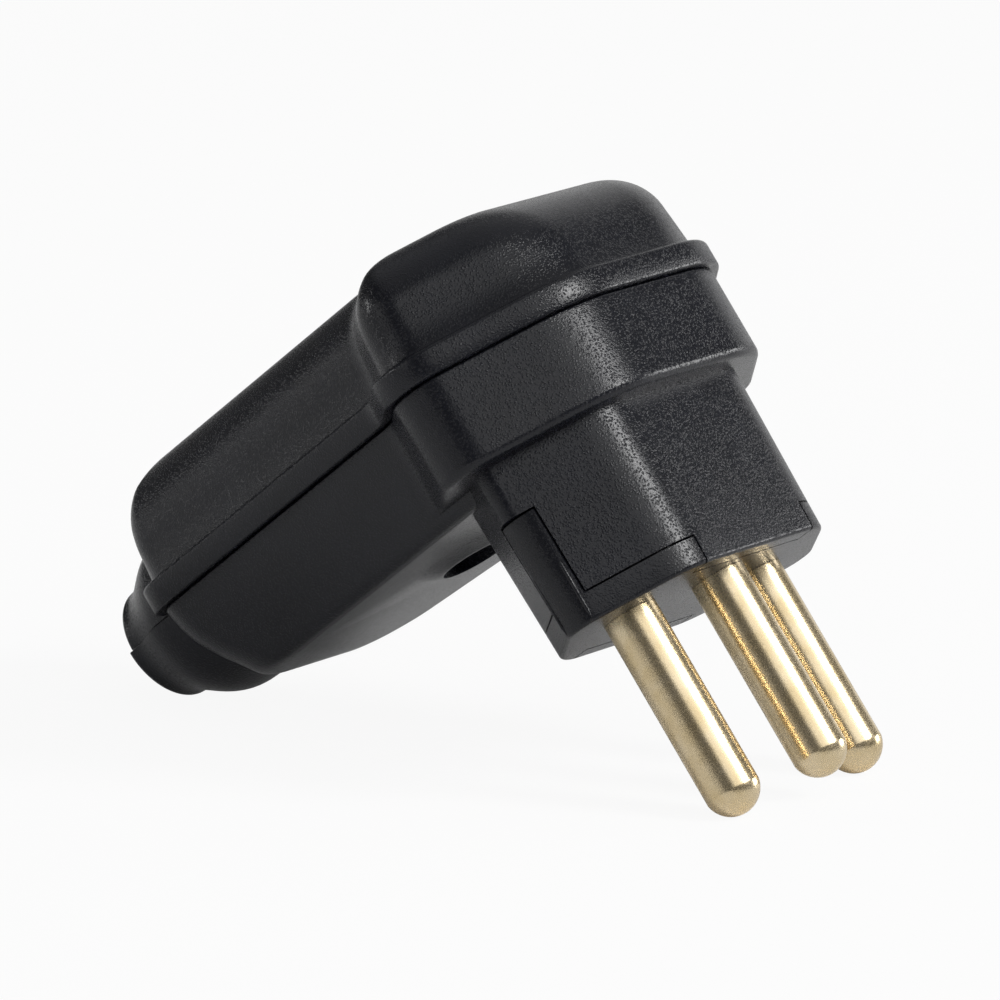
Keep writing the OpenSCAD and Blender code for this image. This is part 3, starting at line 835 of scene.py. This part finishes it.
def moulded_plastic(name, rgb, grain, depth, rough):
    """Black moulded plastic: spark-eroded dots over a fine grain, a faint cloudiness, an uneven sheen."""
    material, tree, shader = new_material(name)
    where = add(tree, "ShaderNodeTexCoord").outputs["Object"]
    cells = add(tree, "ShaderNodeTexVoronoi", {"Vector": where}, Scale=1 / (grain * MM))
    dots = ranged(tree, cells.outputs["Distance"], 0.05, 0.55, 1.0, 0.0, "SMOOTHSTEP")
    fine = noise(tree, where, size=grain * 0.45)
    cloud = noise(tree, where, size=7.0, detail=3.0)
    raised(tree, shader, blended(tree, dots, fine.outputs["Fac"], 0.3), depth)
    spread = ranged(tree, cloud.outputs["Fac"], *NOISE_CORE, 0.0, 1.0)
    tinted(tree, shader, spread, times(rgb, 0.86), times(rgb, 1.14))
    sheen = ranged(tree, fine.outputs["Fac"], *NOISE_SPAN, rough + 0.05, rough - 0.05)
    tree.links.new(sheen, shader.inputs["Roughness"])
    shader.inputs["IOR"].default_value = 1.5
    shader.inputs["Specular IOR Level"].default_value = 0.36
    return material


def satin_brass(name, rgb, tilt):
    """Turned and tumbled brass: fine lines along the pin, small pits and a warm uneven tone."""
    material, tree, shader = new_material(name)
    where = add(tree, "ShaderNodeTexCoord").outputs["Object"]
    along = add(tree, "ShaderNodeMapping", {"Vector": where})
    along.inputs["Rotation"].default_value = (-tilt, 0, 0)
    along.inputs["Scale"].default_value = (1, 1, LINE_STRETCH)
    drawn = noise(tree, along.outputs["Vector"], size=0.10, detail=3.0, rough=0.6)
    pits = noise(tree, where, size=0.12)
    tone = noise(tree, where, size=2.4, detail=3.0)
    raised(tree, shader, blended(tree, drawn.outputs["Fac"], pits.outputs["Fac"], 0.42), depth=0.0065)
    spread = ranged(tree, tone.outputs["Fac"], *NOISE_CORE, 0.0, 1.0)
    tinted(tree, shader, spread, times(rgb, 0.93, 0.90, 0.84), times(rgb, 1.05, 1.06, 1.12))
    sheen = ranged(tree, pits.outputs["Fac"], *NOISE_SPAN, 0.21, 0.34)
    tree.links.new(sheen, shader.inputs["Roughness"])
    shader.inputs["Metallic"].default_value = 1.0
    return material


def plated_steel(name, rgb):
    """Zinc-plated screw steel: a cloudy passivated tone and fine turning marks."""
    material, tree, shader = new_material(name)
    where = add(tree, "ShaderNodeTexCoord").outputs["Object"]
    marks = noise(tree, where, size=0.2, detail=3.0)
    tone = noise(tree, where, size=1.6)
    raised(tree, shader, marks.outputs["Fac"], depth=0.01)
    tinted(tree, shader, tone.outputs["Fac"], times(rgb, 0.85), times(rgb, 1.12))
    sheen = ranged(tree, marks.outputs["Fac"], *NOISE_SPAN, 0.28, 0.42)
    tree.links.new(sheen, shader.inputs["Roughness"])
    shader.inputs["Metallic"].default_value = 1.0
    return material


def dress(material, *nodes):
    """Gives CAD nodes that keep their own shape a finished material."""
    for name in nodes:
        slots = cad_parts[name].data.materials
        slots.clear()
        slots.append(material)


def maths(tree, operation, a, b):
    """Product, maximum or the like of an output and another output or a number."""
    made = add(tree, "ShaderNodeMath", {0: a}, operation=operation)
    if isinstance(b, float):
        made.inputs[1].default_value = b
    else:
        tree.links.new(b, made.inputs[1])
    return made.outputs[0]


def white_share(tree, seen, mirrored):
    """Share of plain white in the background: one where it is seen, another where it is mirrored."""
    path = add(tree, "ShaderNodeLightPath").outputs
    thrown_back = maths(tree, "MAXIMUM", path["Is Glossy Ray"], path["Is Transmission Ray"])
    straight = maths(tree, "MULTIPLY", path["Is Camera Ray"], seen)
    return maths(tree, "MAXIMUM", straight, maths(tree, "MULTIPLY", thrown_back, mirrored))


def make_floor(look, height):
    """Level table under the plug: a square grid, pale, that keeps a soft shadow."""
    count = FLOOR_CELLS + 1
    side = np.linspace(-FLOOR_HALF, FLOOR_HALF, count)
    x, y = np.meshgrid(side, side)
    verts = np.column_stack([x.ravel(), y.ravel(), np.full(x.size, height)])
    i = (np.arange(FLOOR_CELLS)[:, None] * count + np.arange(FLOOR_CELLS)).ravel()
    quads = np.column_stack([i, i + 1, i + count + 1, i + count])
    obj = put("table", (verts, quads.tolist()))
    material, tree, shader = new_material("pale_table")
    where = add(tree, "ShaderNodeTexCoord").outputs["Object"]
    cloud = noise(tree, where, size=40.0)
    tinted(tree, shader, cloud.outputs["Fac"], times(look.floor, 0.99), times(look.floor, 1.01))
    shader.inputs["Roughness"].default_value = 0.9
    shader.inputs["Specular IOR Level"].default_value = 0.0
    white = add(tree, "ShaderNodeEmission", Strength=1.0)
    white.inputs["Color"].default_value = (1, 1, 1, 1)
    seen = white_share(tree, look.floor_white, look.floor_mirrored)
    mix = add(tree, "ShaderNodeMixShader", {0: seen, 1: shader.outputs[0], 2: white.outputs[0]})
    tree.links.new(mix.outputs[0], tree.nodes["Material Output"].inputs["Surface"])
    obj.data.materials.append(material)


def make_world(look):
    """Soft light all round, dim on the camera's side, brighter behind the plug, and white where seen."""
    world = bpy.data.worlds.new("studio")
    world.use_nodes = True
    tree = world.node_tree
    soft = tree.nodes["Background"]
    soft.inputs["Color"].default_value = (1, 1, 1, 1)
    direction = add(tree, "ShaderNodeTexCoord").outputs["Generated"]
    away = add(tree, "ShaderNodeVectorMath", {0: direction}, operation="DOT_PRODUCT")
    away.inputs[1].default_value = BRIGHT_SIDE
    room = ranged(tree, away.outputs["Value"], *BRIGHT_EDGE, look.near, look.far)
    seen = white_share(tree, 1.0, look.room_mirrored)
    strength = add(tree, "ShaderNodeMix", {"Factor": seen, "A": room}, data_type="FLOAT", B=1.0)
    tree.links.new(strength.outputs["Result"], soft.inputs["Strength"])
    bpy.context.scene.world = world


def make_lamp(name, power, size, towards, distance):
    """Oblong soft lamp in a given direction from the plug, facing it."""
    lamp = bpy.data.lights.new(name, "AREA")
    lamp.shape, lamp.energy, (lamp.size, lamp.size_y) = "RECTANGLE", power, size
    obj = bpy.data.objects.new(name, lamp)
    back = Vector(towards).normalized()
    obj.location = back * distance
    obj.rotation_euler = back.to_track_quat("Z", "Y").to_euler()
    bpy.context.scene.collection.objects.link(obj)


def make_camera(look):
    """Camera at the photograph's viewing angle."""
    camera = bpy.data.cameras.new("camera")
    camera.lens, camera.sensor_width = look.lens, 36.0
    camera.clip_start, camera.clip_end = 0.05, 20.0
    obj = bpy.data.objects.new("camera", camera)
    obj.location = look.camera_at
    obj.rotation_euler = look.camera_turn
    bpy.context.scene.collection.objects.link(obj)
    bpy.context.scene.camera = obj


class PLUG_OT_housing(bpy.types.Operator):
    """Builds the base and the cover of the moulded housing."""

    bl_idname = "plug.housing"
    bl_label = "Housing"

    def execute(self, context):
        look = context.scene.plug_finish
        grain, depth = look.grain / MM, look.grain_depth / MM
        black = moulded_plastic("housing_black", look.plastic, grain, depth, look.housing_rough)
        make_base(context.scene, black)
        make_cover(context.scene, black)
        return {"FINISHED"}


class PLUG_OT_carrier(bpy.types.Operator):
    """Builds the pin carrier and dresses the cord clamp of the same plastic."""

    bl_idname = "plug.carrier"
    bl_label = "Pin carrier"

    def execute(self, context):
        look = context.scene.plug_finish
        grain, depth = look.grain / MM, look.carrier_grain * look.grain_depth / MM
        black = moulded_plastic("carrier_black", look.insulator, grain, depth, look.carrier_rough)
        make_carrier(context.scene, black)
        dress(black, "cord_clamp")
        return {"FINISHED"}


class PLUG_OT_pins(bpy.types.Operator):
    """Builds the three contact pins."""

    bl_idname = "plug.pins"
    bl_label = "Contact pins"

    def execute(self, context):
        brass = satin_brass("satin_brass", context.scene.plug_finish.brass, rest_tilt(context.scene))
        make_pins(context.scene, brass)
        return {"FINISHED"}


class PLUG_OT_screws(bpy.types.Operator):
    """Dresses the cover, clamp and terminal screws."""

    bl_idname = "plug.screws"
    bl_label = "Screws"

    def execute(self, context):
        steel = plated_steel("zinc_plate", context.scene.plug_finish.zinc)
        dress(
            steel, "cover_screw", "clamp_screw_left", "clamp_screw_right",
            "line_screw", "neutral_screw", "earth_screw",
        )
        return {"FINISHED"}


class PLUG_OT_stage(bpy.types.Operator):
    """Sets the table, the soft lamps, the white background and the camera."""

    bl_idname = "plug.stage"
    bl_label = "Stage"

    def execute(self, context):
        look = context.scene.plug_stage
        make_floor(look, CAD_BOX[0].z)
        make_world(look)
        for name, (size, towards, distance) in LAMPS.items():
            make_lamp(name, getattr(look, name), size, towards, distance)
        make_camera(look)
        context.scene.view_settings.view_transform = "Standard"
        return {"FINISHED"}


class PLUG_PT_panel(bpy.types.Panel):
    """Lists the sizes and the steps that build the plug."""

    bl_idname = "PLUG_PT_panel"
    bl_label = "Angled plug"
    bl_space_type = "VIEW_3D"
    bl_region_type = "UI"
    bl_category = "Plug"

    def draw(self, context):
        for step in OPERATORS:
            self.layout.operator(step.bl_idname)
        for key, group in GROUPS.items():
            box = self.layout.box()
            box.label(text=group.__doc__)
            for name in group.__annotations__:
                box.prop(getattr(context.scene, key), name)


OPERATORS = (PLUG_OT_housing, PLUG_OT_carrier, PLUG_OT_pins, PLUG_OT_screws, PLUG_OT_stage)
CLASSES = (*GROUPS.values(), *OPERATORS, PLUG_PT_panel)


def register():
    """Makes the classes known and gives the scene its groups of sizes."""
    for cls in CLASSES:
        bpy.utils.register_class(cls)
    for key, group in GROUPS.items():
        setattr(bpy.types.Scene, key, PointerProperty(type=group))


def unregister():
    """Takes back what register did."""
    for key in GROUPS:
        delattr(bpy.types.Scene, key)
    for cls in reversed(CLASSES):
        bpy.utils.unregister_class(cls)


def main():
    """Builds the plug and its stage."""
    register()
    bpy.ops.plug.housing()
    bpy.ops.plug.carrier()
    bpy.ops.plug.pins()
    bpy.ops.plug.screws()
    bpy.ops.plug.stage()


if __name__ == "__main__":
    main()
